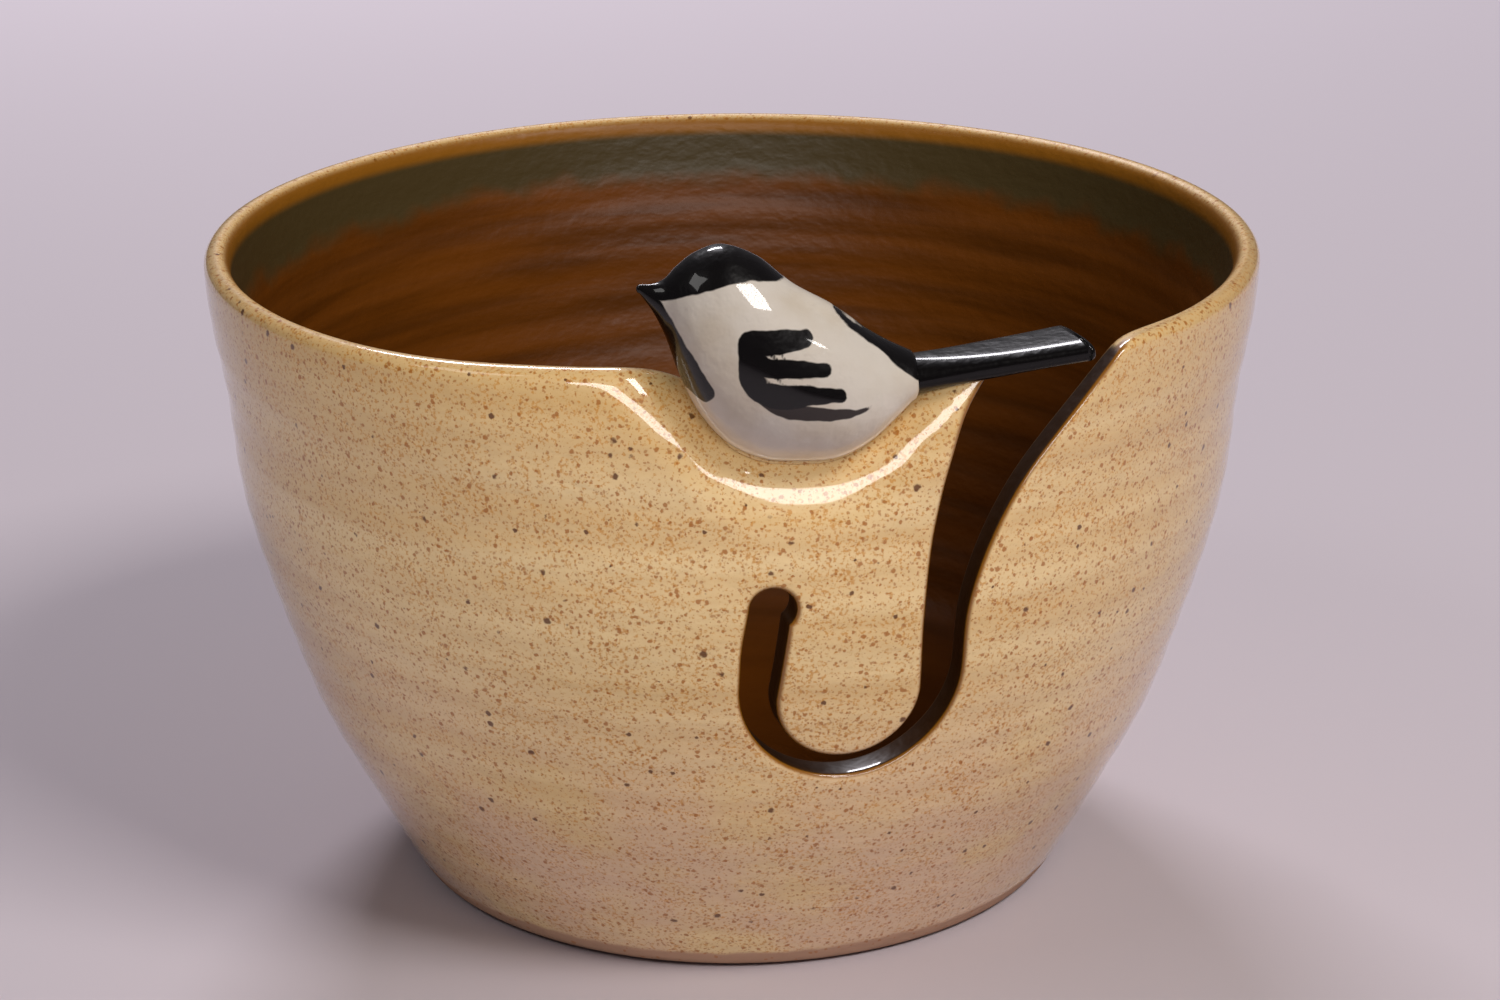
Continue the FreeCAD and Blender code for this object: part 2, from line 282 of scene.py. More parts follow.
class WallRule:
    """Where every point of the thrown wall goes, from its place on the flat sheet.

    The sheet's first coordinate runs round the bowl and its second is the height before the
    rim is rolled in.  Both are millimetres.
    """

    def __init__(self, bowl: BowlSizes, dish: DishSizes, slot: SlotSizes) -> None:
        """Keeps the sizes and works out where the dish and the lean lie.

        Args:
            bowl: the bowl's sizes.
            dish: the dish's sizes.
            slot: the slot's sizes.
        """
        self.bowl = bowl
        self.dish = dish
        self.slot = slot
        self.arc_radius = bowl.rim_radius - 2.4
        self.dish_at = math.asin(slot.mouth_left / self.arc_radius) * self.arc_radius - dish.offset
        self.lean_at = self.dish_at - dish.lean_offset
        self.half_turn = math.pi * self.arc_radius

    def outer_radius(self, z: np.ndarray) -> np.ndarray:
        """The outside of the wall at height z: a parabola with two soft waves in it.

        Args:
            z: heights over the table.

        Returns:
            A radius for each height.
        """
        b = self.bowl
        share = np.minimum(z / b.height, 1.0)
        radius = b.foot_radius + (b.rim_radius - b.foot_radius) * (1.0 - (1.0 - share) ** 2)
        radius = radius + b.swell_depth * bump_share(z - b.swell_height, b.swell_reach, 2)
        return radius - b.hollow_depth * bump_share(z - (b.height - b.hollow_drop), b.hollow_reach, 2)

    def thickness(self, z: np.ndarray, top: np.ndarray) -> np.ndarray:
        """The wall's level thickness at height z, under a rim at height top.

        Args:
            z: heights over the table.
            top: the rim's height above each.

        Returns:
            A thickness for each height.
        """
        b = self.bowl
        thinning = (b.wall - b.lip) * np.exp(-(top - z) / b.lip_taper)
        return b.wall - thinning + b.foot_extra * np.exp(-z / b.foot_taper)

    def top(self, u: np.ndarray) -> np.ndarray:
        """The rim's height on the flat sheet.

        Args:
            u: distance round the bowl.

        Returns:
            A height for each place.
        """
        d = self.dish
        half = np.where(u < self.dish_at, d.left, d.right)
        lean = bump_share(u - self.lean_at, d.lean_half_width, 2)
        return self.bowl.height + d.lean_rise * lean - d.cut * bump_share(u - self.dish_at, half, 3)

    def place(self, u: np.ndarray, v: np.ndarray, side: Side, inset: np.ndarray) -> np.ndarray:
        """Rolls points of the flat sheet into the bowl.

        Args:
            u: distance round the bowl.
            v: height on the sheet.
            side: the face of the wall that the points lie on.
            inset: how far under that face they lie, as on a rounded edge.

        Returns:
            Positions in the part's frame.
        """
        top = self.top(u)
        half = self.thickness(v, top) / 2.0
        radius, height = self._roll(u, v, side.value * (half - inset), top)
        middle, _ = self._roll(u, v, np.zeros_like(v), top)
        if side is Side.INSIDE:
            radius, height = self._sweep(v, top, radius, height)
        azimuth = u / self.arc_radius
        level = np.arcsin(np.clip(middle * np.sin(azimuth) / np.maximum(radius, 1.0), -1.0, 1.0))
        near_slot = smooth_step(-np.abs(np.degrees(azimuth)), -60.0, -35.0) * smooth_step(v, 26.0, 34.0)
        azimuth = azimuth + near_slot * (level - azimuth)
        return np.column_stack([radius * np.sin(azimuth), -radius * np.cos(azimuth), height])

    def _roll(self, u: np.ndarray, v: np.ndarray, offset: np.ndarray, top: np.ndarray) -> tuple:
        """Rolls the rim in over the dish, and leans it in beside it.

        Args:
            u: distance round the bowl.
            v: height on the sheet.
            offset: distance out from the wall's middle.
            top: the rim's height above each point.

        Returns:
            The radii and the heights after it.
        """
        d = self.dish
        lean = d.lean * bump_share(u - self.lean_at, d.lean_half_width, 2)
        lean = lean * np.maximum(0.0, 1.0 - (self.bowl.height - v) / d.lean_depth) ** 2
        curl = math.radians(d.curl_angle) * bump_share(u - self.dish_at, d.curl_half_width, 4)
        half_lip = self.thickness(top, top) / 2.0
        bend_from = top - half_lip - d.curl_radius * curl
        above = np.maximum(v - bend_from, 0.0)
        angle = np.minimum(above / d.curl_radius, curl)
        past = above - d.curl_radius * angle
        middle = self.outer_radius(v) - self.thickness(v, top) / 2.0
        start = self.outer_radius(bend_from) - self.thickness(bend_from, top) / 2.0
        flare = np.where(above > 0.0, middle - start, 0.0)
        base = np.where(above > 0.0, start, middle)
        radius = base - d.curl_radius * (1.0 - np.cos(angle))
        radius = radius + (offset + flare) * np.cos(angle) - past * np.sin(angle) - lean
        height = np.minimum(v, bend_from) + d.curl_radius * np.sin(angle)
        height = height + (offset + flare) * np.sin(angle) + past * np.cos(angle)
        return radius, height

    def _sweep(self, v: np.ndarray, top: np.ndarray, radius: np.ndarray, height: np.ndarray) -> tuple:
        """Bends the foot of the inside face round into the floor.

        Args:
            v: height on the sheet.
            top: the rim's height above it.
            radius: each point's distance from the axis, before the bend.
            height: each point's height, before the bend.

        Returns:
            The radii and the heights after it.
        """
        b = self.bowl
        sweep_top = b.floor + b.floor_curve
        angle = (sweep_top - v) / sweep_top * math.pi / 2.0
        start = self.outer_radius(np.float64(sweep_top)) - self.thickness(np.float64(sweep_top), top)
        low = v < sweep_top
        swept = b.floor_flat + (start - b.floor_flat) * np.cos(angle)
        return np.where(low, swept, radius), np.where(low, sweep_top - b.floor_curve * np.sin(angle), height)


class ThrownBowl:
    """The bowl: one flat sheet cut to outline, rolled into two faces and joined round its edges."""

    STEP = 0.5
    RINGS = 5

    def __init__(self, rule: WallRule) -> None:
        """Keeps the wall's rule."""
        self.rule = rule

    def columns(self) -> np.ndarray:
        """Places round the bowl: close together by the slot and the dish, wider behind."""
        near = 60.0
        front = np.arange(-near, near, 1.1)
        far = np.linspace(near, self.rule.half_turn, 64)
        return np.concatenate([-far[::-1], front[1:], far])

    def rows(self) -> np.ndarray:
        """Heights on the sheet: close at the foot's round and under the rim.

        Returns:
            The heights, from the foot up.
        """
        b = self.rule.bowl
        foot = b.foot_round * (1.0 - np.cos(np.linspace(0.0, math.pi / 2.0, 5)))
        belly = np.arange(b.foot_round + 1.4, 34.0, 2.0)
        wall = np.arange(34.0, 74.0, 1.3)
        return np.concatenate([foot, belly, wall, np.arange(74.0, b.height + 2.0, 0.9)])

    def slot_outline(self) -> np.ndarray:
        """The slot on the flat sheet, from the mouth's left corner round to its right corner.

        Returns:
            Points of the outline.
        """
        s, h = self.rule.slot, self.rule.bowl.height
        tongue = (s.tongue_x, h - s.tongue_drop)
        bulb = (s.bulb_x, h - s.bulb_drop)
        hook = (s.hook_x, h - s.hook_drop)
        neck_x = s.tongue_x + s.tongue_radius
        leave = math.radians(47.0)
        bulb_right = (bulb[0] + s.bulb_radius * math.cos(leave), bulb[1] - s.bulb_radius * math.sin(leave))
        left = curve_through([
            (s.mouth_left + 2.8, h),
            (s.mouth_left - 1.4, h - 6.2),
            (s.mouth_left - 5.4, h - 21.3),
            (neck_x - 0.4, h - s.stem_drop),
            (neck_x, tongue[1]),
        ], self.STEP)
        inner_arm = curve_through([(tongue[0] - s.tongue_radius, tongue[1]), bulb_right], self.STEP)
        outer_arm = curve_through([
            (bulb[0] - s.bulb_radius, bulb[1]),
            (hook[0] - s.hook_radius, bulb[1] - 6.5),
            (hook[0] - s.hook_radius, hook[1]),
        ], self.STEP)
        right = curve_through([
            (hook[0] + s.hook_radius, hook[1]),
            (neck_x - 0.4 + s.stem_width, h - s.stem_drop),
            (s.mouth_right - 17.6, h - 19.5),
            (s.mouth_right - 5.4, h - 5.0),
            (s.mouth_right, h),
        ], self.STEP)
        runs = [
            left,
            arc(tongue, s.tongue_radius, 0.0, -180.0, self.STEP)[1:],
            inner_arm[1:],
            arc(bulb, s.bulb_radius, -47.0, 180.0, self.STEP)[1:],
            outer_arm[1:],
            arc(hook, s.hook_radius, -180.0, 0.0, self.STEP)[1:],
            right[1:],
        ]
        outline = np.concatenate(runs)
        z = outline[:, 1]
        middle = self.rule.outer_radius(z) - self.rule.thickness(z, np.full_like(z, h)) / 2.0
        return np.column_stack([np.arcsin(outline[:, 0] / middle) * self.rule.arc_radius, z])

    def free_edge(self) -> tuple[np.ndarray, np.ndarray]:
        """The sheet's free edge: the rim, down round the slot, and the rim again.

        Returns:
            Points on the sheet, and each point's share of being slot and not rim.
        """
        slot = self.slot_outline()
        columns = self.columns()
        left = columns[columns < slot[0, 0] - 1.0]
        right = columns[columns > slot[-1, 0] + 1.0]
        edge = np.concatenate([
            np.column_stack([left, self.rule.top(left)]),
            slot,
            np.column_stack([right, self.rule.top(right)]),
        ])
        cut = np.concatenate([np.zeros(len(left)), np.ones(len(slot)), np.zeros(len(right))])
        for corner, passes in ((len(left), 3), (len(left) + len(slot), 16)):
            for _ in range(passes):
                near, before, after = (slice(corner - 8 + k, corner + 8 + k) for k in (0, -1, 1))
                edge[near] = (edge[before] + 2.0 * edge[near] + edge[after]) / 4.0
                cut[near] = (cut[before] + 2.0 * cut[near] + cut[after]) / 4.0
        return edge, cut

    def room_to_round(self, edge: np.ndarray, inwards: np.ndarray, wanted: np.ndarray) -> np.ndarray:
        """Lessens the edge's rounding where a corner is too tight to hold it.

        Args:
            edge: the free edge's points.
            inwards: the direction into the sheet at each.
            wanted: the radius that each would have on a straight edge.

        Returns:
            The radius that each point gets.
        """
        radius = wanted.copy()
        for _ in range(14):
            centres = edge + inwards * (radius * 1.12)[:, None]
            gaps = np.linalg.norm(centres[:, None] - edge[None], axis=2).min(axis=1)
            radius = np.where(gaps < radius * 1.08, radius * 0.9, radius)
        spread = 7
        padded = np.pad(radius, spread, mode="edge")
        radius = np.min([padded[i:i + len(radius)] for i in range(2 * spread + 1)], axis=0)
        padded = np.pad(radius, spread, mode="edge")
        return np.mean([padded[i:i + len(radius)] for i in range(2 * spread + 1)], axis=0)

    def flat_sheet(self) -> dict[str, Any]:
        """Cuts the flat sheet to its outline and divides it into triangles.

        Returns:
            The sheet's points, each one's distance in from the edge and the edge's rounding
            there, its share of being slot edge, its triangles, and how many points the edge has.
        """
        edge, cut = self.free_edge()
        along = np.gradient(edge, axis=0)
        along /= np.linalg.norm(along, axis=1)[:, None]
        inwards = np.column_stack([along[:, 1], -along[:, 0]])
        inwards[[0, -1]] = (0.0, -1.0)
        half_lip = self.rule.bowl.lip / 2.0
        wanted = half_lip + (self.rule.slot.edge_round - half_lip) * cut
        rounding = self.room_to_round(edge, inwards, wanted)
        turns = np.linspace(0.0, math.pi / 2.0, self.RINGS)
        points, depth, radii, cuts, links = [], [], [], [], []
        for k, turn in enumerate(turns):
            reach = rounding * (1.0 - math.cos(turn))
            points.append(edge + inwards * reach[:, None])
            depth.append(reach)
            radii.append(rounding)
            cuts.append(cut)
            start = k * len(edge)
            links += [(start + i, start + i + 1) for i in range(len(edge) - 1)]
        grid, away, near_cut = self._inner_grid(edge, cut, rounding)
        points.append(grid)
        depth.append(away)
        radii.append(np.full(len(grid), 0.01))
        cuts.append(near_cut)
        flat = np.concatenate(points)
        links += self._border_links(flat)
        made = delaunay_2d_cdt([Vector(p) for p in flat], links, [], 1, 1e-5, True)
        kept = np.array([origin[0] if origin else -1 for origin in made[3]])
        if (kept < 0).any():
            raise RuntimeError("the sheet's outline crosses itself")
        triangles = [tuple(int(kept[i]) for i in face) for face in made[2]]
        triangles = [face for face in triangles if max(face) >= len(edge)]
        return {
            "flat": flat,
            "depth": np.concatenate(depth),
            "radii": np.concatenate(radii),
            "cut": np.concatenate(cuts),
            "triangles": triangles,
            "edge_count": len(edge),
        }

    def _inner_grid(self, edge: np.ndarray, cut: np.ndarray, rounding: np.ndarray) -> tuple:
        """Fills the sheet with points that stand clear of its free edge.

        Args:
            edge: the free edge's points.
            cut: each one's share of being slot.
            rounding: each one's rounding.

        Returns:
            The points, their distance from the edge, and the share of the edge nearest each.
        """
        grid = np.array(np.meshgrid(self.columns(), self.rows())).reshape(2, -1).T
        grid = grid[grid[:, 1] < self.rule.top(grid[:, 0]) - 1.0]
        inside = np.ones(len(grid), bool)
        border = np.concatenate([edge, [[self.rule.half_turn, 0.0], [-self.rule.half_turn, 0.0]]])
        start, end = border, np.roll(border, -1, axis=0)
        for (x0, y0), (x1, y1) in zip(start, end):
            if y0 == y1:
                continue
            crosses = (y0 > grid[:, 1]) != (y1 > grid[:, 1])
            left_of = grid[:, 0] < x0 + (grid[:, 1] - y0) * (x1 - x0) / (y1 - y0)
            inside ^= crosses & left_of
        on_side = np.abs(np.abs(grid[:, 0]) - self.rule.half_turn) < 1e-9
        on_foot = grid[:, 1] < 1e-9
        grid = grid[(inside ^ True) | on_side | on_foot]
        away = np.empty(len(grid))
        nearest = np.empty(len(grid), int)
        for i in range(0, len(grid), 2000):
            part = slice(i, i + 2000)
            gaps = np.linalg.norm(grid[part, None, :] - edge[None], axis=2)
            nearest[part] = gaps.argmin(axis=1)
            away[part] = gaps.min(axis=1)
        clear = away > rounding[nearest] + 0.45
        return grid[clear], away[clear], cut[nearest[clear]]

    def _border_links(self, flat: np.ndarray) -> list[tuple[int, int]]:
        """Joins the points that close the sheet down its two sides and along its foot.

        Args:
            flat: the sheet's points.

        Returns:
            Pairs of point numbers.
        """
        links = []
        for side in (-1.0, 1.0):
            on_side = np.where(np.abs(flat[:, 0] - side * self.rule.half_turn) < 1e-6)[0]
            ordered = on_side[np.argsort(flat[on_side, 1])]
            links += list(zip(ordered[:-1].tolist(), ordered[1:].tolist()))
        foot = np.where(flat[:, 1] < 1e-9)[0]
        ordered = foot[np.argsort(flat[foot, 0])]
        links += list(zip(ordered[:-1].tolist(), ordered[1:].tolist()))
        return links

    def build(self) -> bpy.types.Object:
        """Makes the bowl's mesh, with the attributes that its glaze reads.

        Returns:
            The bowl.
        """
        sheet = self.flat_sheet()
        flat, depth, radii = sheet["flat"], sheet["depth"], sheet["radii"]
        short = np.clip(1.0 - depth / radii, 0.0, 1.0)
        inset = radii * (1.0 - np.sqrt(1.0 - short**2))
        inset = np.where(radii > 0.02, inset, 0.0)
        foot_round = self.rule.bowl.foot_round
        low = np.clip(1.0 - flat[:, 1] / foot_round, 0.0, 1.0)
        foot_inset = foot_round * (1.0 - np.sqrt(1.0 - low**2))
        outside = self.rule.place(flat[:, 0], flat[:, 1], Side.OUTSIDE, inset + foot_inset)
        inside = self.rule.place(flat[:, 0], flat[:, 1], Side.INSIDE, inset)
        half = self.rule.thickness(flat[:, 1], self.rule.top(flat[:, 0])) / 2.0
        across = 0.5 * (1.0 - np.clip((half - inset) / half, 0.0, 1.0))
        count = len(flat)
        faces = list(sheet["triangles"])
        faces += [(c + count, b + count, a + count) for a, b, c in sheet["triangles"]]
        for i in range(sheet["edge_count"] - 1):
            faces.append((i, i + 1, i + 1 + count, i + count))
        drop = self.rule.top(flat[:, 0]) - flat[:, 1]
        near_cut = sheet["cut"] * np.exp(-depth / 1.2)
        points = [outside, inside]
        attributes = {
            "inside": [across, 1.0 - across],
            "rim_drop": [drop, drop],
            "near_cut": [near_cut, near_cut],
        }
        for rings, is_inside in ((self._underside(), 0.0), (self._floor(), 1.0)):
            offset = sum(len(p) for p in points)
            around = len(self.columns())
            faces += [tuple(i + offset for i in f) for f in ring_faces(len(rings), around, False)]
            last = offset + (len(rings) - 1) * around
            points.append(np.concatenate(rings))
            points.append(np.array([[0.0, 0.0, rings[-1][0, 2]]]))
            hub = last + around
            faces += [(last + i, last + i + 1, hub) for i in range(around - 1)]
            size = len(rings) * around + 1
            attributes["inside"].append(np.full(size, is_inside))
            attributes["rim_drop"].append(np.full(size, self.rule.bowl.height))
            attributes["near_cut"].append(np.zeros(size))
        merged = {key: np.concatenate(values) for key, values in attributes.items()}
        return mesh_object("bowl", np.concatenate(points), faces, merged)

    def _lathe(self, profile: list[tuple[float, float]]) -> list[np.ndarray]:
        """Level rings at the sheet's columns, one for each radius and height.

        Args:
            profile: radii and heights.

        Returns:
            A ring of points for each.
        """
        azimuth = self.columns() / self.rule.arc_radius
        return [
            np.column_stack([r * np.sin(azimuth), -r * np.cos(azimuth), np.full_like(azimuth, z)])
            for r, z in profile
        ]

    def _underside(self) -> list[np.ndarray]:
        """The trimmed foot: a ring to stand on, and a shallow recess inside it.

        Returns:
            Its rings, from the outside in.
        """
        b = self.rule.bowl
        swell = float(self.rule.outer_radius(np.float64(0.0)))
        ring_in = b.foot_radius - b.foot_ring
        profile = [
            (swell - b.foot_round, 0.0),
            (ring_in + 0.6, 0.0),
            (ring_in + 0.2, 0.15),
            (ring_in, 0.5),
            (ring_in - 0.6, b.foot_recess - 0.5),
            (ring_in - 1.2, b.foot_recess - 0.1),
        ]
        profile += [(r, b.foot_recess) for r in np.linspace(ring_in - 2.0, 3.0, 18)]
        return self._lathe(profile)

    def _floor(self) -> list[np.ndarray]:
        """The flat middle of the inside, with the thrower's last low spiral in it."""
        b = self.rule.bowl
        radii = np.linspace(b.floor_flat, 1.5, 16)
        return self._lathe([(r, b.floor + 0.35 * math.sin(r * 1.4) * (r < b.floor_flat - 1.0)) for r in radii])


# ---------------------------------------------------------------- the bird


@dataclass
class BirdSizes:
    """The modelled bird's sizes in millimetres and degrees."""

    inset: float = 8.0
    beak_reach: float = 21.4
    length: float = 60.0
    tail_root: float = 15.0
    tail_width: float = 12.0
    tail_thickness: float = 3.2
    tail_root_width: float = 8.6
    tail_root_thickness: float = 5.4
    tail_slope: float = 8.5
    tail_skew: float = 1.2
    tail_edge: float = 0.7
    egg: float = 0.12
    bead: float = 0.75
    rump_height: float = 9.0


class BirdPlace:
    """The bird's own directions: behind its beak, outwards from the bowl, and above the dish."""

    def __init__(self, rule: WallRule, sizes: BirdSizes) -> None:
        """Finds the dish's crest, under the bird's head, and the point that the bird sits on.

        Args:
            rule: the wall's rule.
            sizes: the bird's sizes.
        """
        bowl, dish = rule.bowl, rule.dish
        turn = rule.dish_at / rule.arc_radius
        self.sizes = sizes
        self.back = np.array([math.cos(turn), math.sin(turn), 0.0])
        self.out = np.array([math.sin(turn), -math.cos(turn), 0.0])
        reach = float(rule.outer_radius(np.float64(bowl.height - dish.cut))) - sizes.inset
        self.origin = self.out * reach
        head = max(middle + half_height for _, middle, half_height, _ in BirdBody.SECTIONS)
        self.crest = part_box("bird_body")[1][2] / MM - head

    def put(self, behind: np.ndarray, across: np.ndarray, above: np.ndarray) -> np.ndarray:
        """Positions in the part's frame, from places on the bird.

        Args:
            behind: distance behind the beak.
            across: distance out from the bird's middle.
            above: height over the dish's crest.

        Returns:
            A row for each place.
        """
        points = self.origin + np.outer(behind - self.sizes.beak_reach, self.back)
        points = points + np.outer(across, self.out)
        points[:, 2] += self.crest + above
        return points


def distance_inside(points: np.ndarray, outline: np.ndarray) -> np.ndarray:
    """Signed distance from a closed outline.

    Args:
        points: the places to measure.
        outline: the outline's points, in order.

    Returns:
        A distance for each place, below nought inside the outline.
    """
    start, end = outline, np.roll(outline, -1, axis=0)
    best = np.full(len(points), 1e9)
    inside = np.zeros(len(points), bool)
    for (x0, y0), (x1, y1) in zip(start, end):
        run = np.array([x1 - x0, y1 - y0])
        length = max(float(run @ run), 1e-12)
        away = points - (x0, y0)
        share = np.clip(away @ run / length, 0.0, 1.0)
        best = np.minimum(best, np.linalg.norm(away - share[:, None] * run, axis=1))
        if y0 != y1:
            crosses = (y0 > points[:, 1]) != (y1 > points[:, 1])
            inside ^= crosses & (points[:, 0] < x0 + (points[:, 1] - y0) * (x1 - x0) / (y1 - y0))
    return np.where(inside, -best, best)


class BirdBody:
    """The bird's body, a smooth egg with a beak, and the painted marks on it.

    Every place on it is millimetres behind the beak's tip and above the dish's crest.
    """

    # Behind the beak, middle, half height, half width.  Rows 3 to 11 are up to 0.9 mm off the
    # solid's own, so the belly hangs 1.8 mm lower here than there.
    SECTIONS = [
        (0.0, 22.5, 0.6, 0.5), (1.5, 21.4, 1.7, 1.3), (3.0, 20.1, 3.4, 2.8), (5.0, 18.1, 7.2, 5.6),
        (7.5, 16.3, 10.8, 7.8), (11.1, 14.6, 13.5, 9.3), (15.7, 12.5, 13.9, 10.1),
        (20.8, 10.1, 12.1, 10.3), (25.9, 8.7, 10.5, 9.8), (31.0, 8.0, 7.4, 8.0),
        (34.0, 8.4, 5.2, 6.2), (36.4, 9.0, 3.4, 5.0),
    ]
    BEAK_ROUND = 0.45
    RUMP_ROUND = 1.2
    CAP = [(-1.5, 20.5), (3.0, 21.5), (7.0, 23.0), (14.0, 24.5), (19.0, 23.5), (24.5, 21.5)]
    CAP_OVER = [(26.0, 40.0), (-4.0, 40.0)]
    BIB = [(2.5, 21.5), (5.0, 17.0), (8.0, 12.0), (9.0, 10.0), (8.0, 8.5), (6.0, 9.5)]
    BIB_OVER = [(4.5, 6.0), (-4.0, 6.0), (-4.0, 21.0)]
    BLACK_STROKES = [
        [(14.0, 17.0, 1.7), (17.5, 17.0, 1.5), (21.0, 17.0, 1.1)],
        [(14.0, 14.0, 1.2), (18.5, 13.5, 1.2), (23.5, 13.0, 0.9)],
        [(15.5, 10.5, 1.3), (20.0, 10.0, 1.3), (25.5, 9.5, 0.9)],
        [(13.5, 17.0, 1.6), (13.5, 14.0, 1.5), (14.0, 11.5, 1.5), (17.0, 9.5, 1.3), (20.5, 9.0, 0.7)],
        [(26.0, 19.0, 0.2), (29.5, 16.0, 0.4), (32.5, 14.0, 0.6), (34.5, 12.5, 0.9), (37.5, 11.0, 1.6)],
    ]
    GREY_STROKE = [
        (15.0, 9.5, 0.6), (17.5, 8.0, 0.9), (20.5, 7.5, 1.0),
        (25.0, 7.0, 0.8), (28.0, 7.0, 0.4), (30.0, 7.5, 0.1),
    ]

    def __init__(self, place: BirdPlace) -> None:
        """Keeps the bird's place."""
        self.place = place

    @staticmethod
    def brushed(points: np.ndarray, stroke: list[tuple[float, float, float]]) -> np.ndarray:
        """Signed distance from a brush stroke, given as places and half widths.

        Args:
            points: the places to measure.
            stroke: places along it, each with a half width.

        Returns:
            A distance for each point.
        """
        marks = curve_through(stroke, 0.3)
        gaps = np.linalg.norm(points[:, None] - marks[None, :, :2], axis=2) - marks[None, :, 2]
        return gaps.min(axis=1)

    @staticmethod
    def rounded_end(ring: tuple[float, ...], reach: float, shares: tuple[float, ...]) -> list[tuple]:
        """Smaller and smaller sections that round off an end.

        Args:
            ring: the section at the end.
            reach: how far the rounding goes past it, below nought towards the beak.
            shares: how much of that reach each new section is at.

        Returns:
            The new sections.
        """
        place, middle, half_height, half_width = ring
        small = [math.sqrt(1 - share * share) for share in shares]
        return [
            (place + reach * share, middle, half_height * less, half_width * less)
            for share, less in zip(shares, small)
        ]

    def paint(self, places: np.ndarray) -> dict[str, np.ndarray]:
        """Marks out the painted places.

        Args:
            places: behind the beak and above the crest, one row each.

        Returns:
            How far each place is from the black marks and from the grey one, in millimetres.
        """
        cap = np.concatenate([curve_through(self.CAP, 0.4), self.CAP_OVER])
        bib = np.concatenate([curve_through(self.BIB, 0.4), self.BIB_OVER])
        black = np.minimum(distance_inside(places, cap), distance_inside(places, bib))
        for stroke in self.BLACK_STROKES:
            black = np.minimum(black, self.brushed(places, stroke))
        return {"black": black, "grey": self.brushed(places, self.GREY_STROKE)}

    def build(self) -> bpy.types.Object:
        """Makes the body's mesh.

        Returns:
            The bird.
        """
        rows = curve_through(self.SECTIONS, 0.42)
        count = 120
        angles = np.linspace(0.0, 2.0 * math.pi, count, endpoint=False)
        egg = 1.0 - self.place.sizes.egg * np.sin(angles)
        behind, across, above = [], [], []
        rings = [tuple(row) for row in rows]
        beak = self.rounded_end(rings[0], -self.BEAK_ROUND, (0.9, 0.6, 0.3))
        rings = beak + rings + self.rounded_end(rings[-1], self.RUMP_ROUND, (0.3, 0.6, 0.85))
        for b, middle, half_height, half_width in rings:
            behind.append(np.full(count, b))
            across.append(half_width * egg * np.cos(angles))
            above.append(middle + half_height * np.sin(angles))
        faces = ring_faces(len(rings), count)
        behind, across, above = (np.concatenate(v) for v in (behind, across, above))
        hubs = [(rings[0][0] - 0.05, rings[0][1]), (rings[-1][0] + 0.15, rings[-1][1])]
        behind = np.append(behind, [h[0] for h in hubs])
        across = np.append(across, [0.0, 0.0])
        above = np.append(above, [h[1] for h in hubs])
        total = len(rings) * count
        faces += [(i, (i + 1) % count, total) for i in range(count)]
        start = total - count
        faces += [(start + i, start + (i + 1) % count, total + 1) for i in range(count)]
        marks = self.paint(np.column_stack([behind, above]))
        return mesh_object("bird", self.place.put(behind, across, above), faces, marks)


class BirdTail:
    """The flat tail, widening to a slanted square end, with softened edges."""

    INSIDE_RUMP = -0.07
    RINGS = 44

    def __init__(self, place: BirdPlace) -> None:
        """Keeps the bird's place."""
        self.place = place

    def build(self) -> bpy.types.Object:
        """Makes the tail's mesh.

        Returns:
            The tail.
        """
        s = self.place.sizes
        reach = s.length - s.beak_reach - s.tail_root
        slope = math.radians(s.tail_slope)
        shares = list(np.linspace(self.INSIDE_RUMP, 1.0, self.RINGS))
        shrink = [0.0] * self.RINGS
        for turn in np.linspace(15.0, 90.0, 6):
            shares.append(1.0 - s.tail_edge * (1.0 - math.sin(math.radians(turn))) / reach)
            shrink.append(s.tail_edge * (1.0 - math.cos(math.radians(turn))))
        shares[self.RINGS - 1] = 1.0 - s.tail_edge / reach
        count = 72
        angles = np.linspace(0.0, 2.0 * math.pi, count, endpoint=False)
        points = []
        for share, less in zip(shares, shrink):
            settled = 1.0 - (1.0 - np.clip(share, 0.0, 1.0)) ** 3
            half_width = (s.tail_root_width + (s.tail_width - s.tail_root_width) * share) / 2.0 - less
            thick = s.tail_root_thickness + (s.tail_thickness - s.tail_root_thickness) * settled
            half_thick = thick / 2.0 - less
            power = 2.0 / (2.0 + 1.3 * np.clip(share * 2.0, 0.0, 1.0))
            across = half_width * np.sign(np.cos(angles)) * np.abs(np.cos(angles)) ** power
            up = half_thick * np.sign(np.sin(angles)) * np.abs(np.sin(angles)) ** (power * 1.15)
            along = share * reach + s.tail_skew * across / (s.tail_width / 2.0) * share
            behind = s.beak_reach + s.tail_root + along * math.cos(slope) - up * math.sin(slope)
            above = s.rump_height + along * math.sin(slope) + up * math.cos(slope)
            points.append(self.place.put(behind, across, above))
        faces = ring_faces(len(points), count)
        faces.append(tuple(range(count)))
        last = (len(points) - 1) * count
        points.append(points[-1].mean(axis=0)[None])
        faces += [(last + i, last + (i + 1) % count, last + count) for i in range(count)]
        return mesh_object("tail", np.concatenate(points), faces, {})


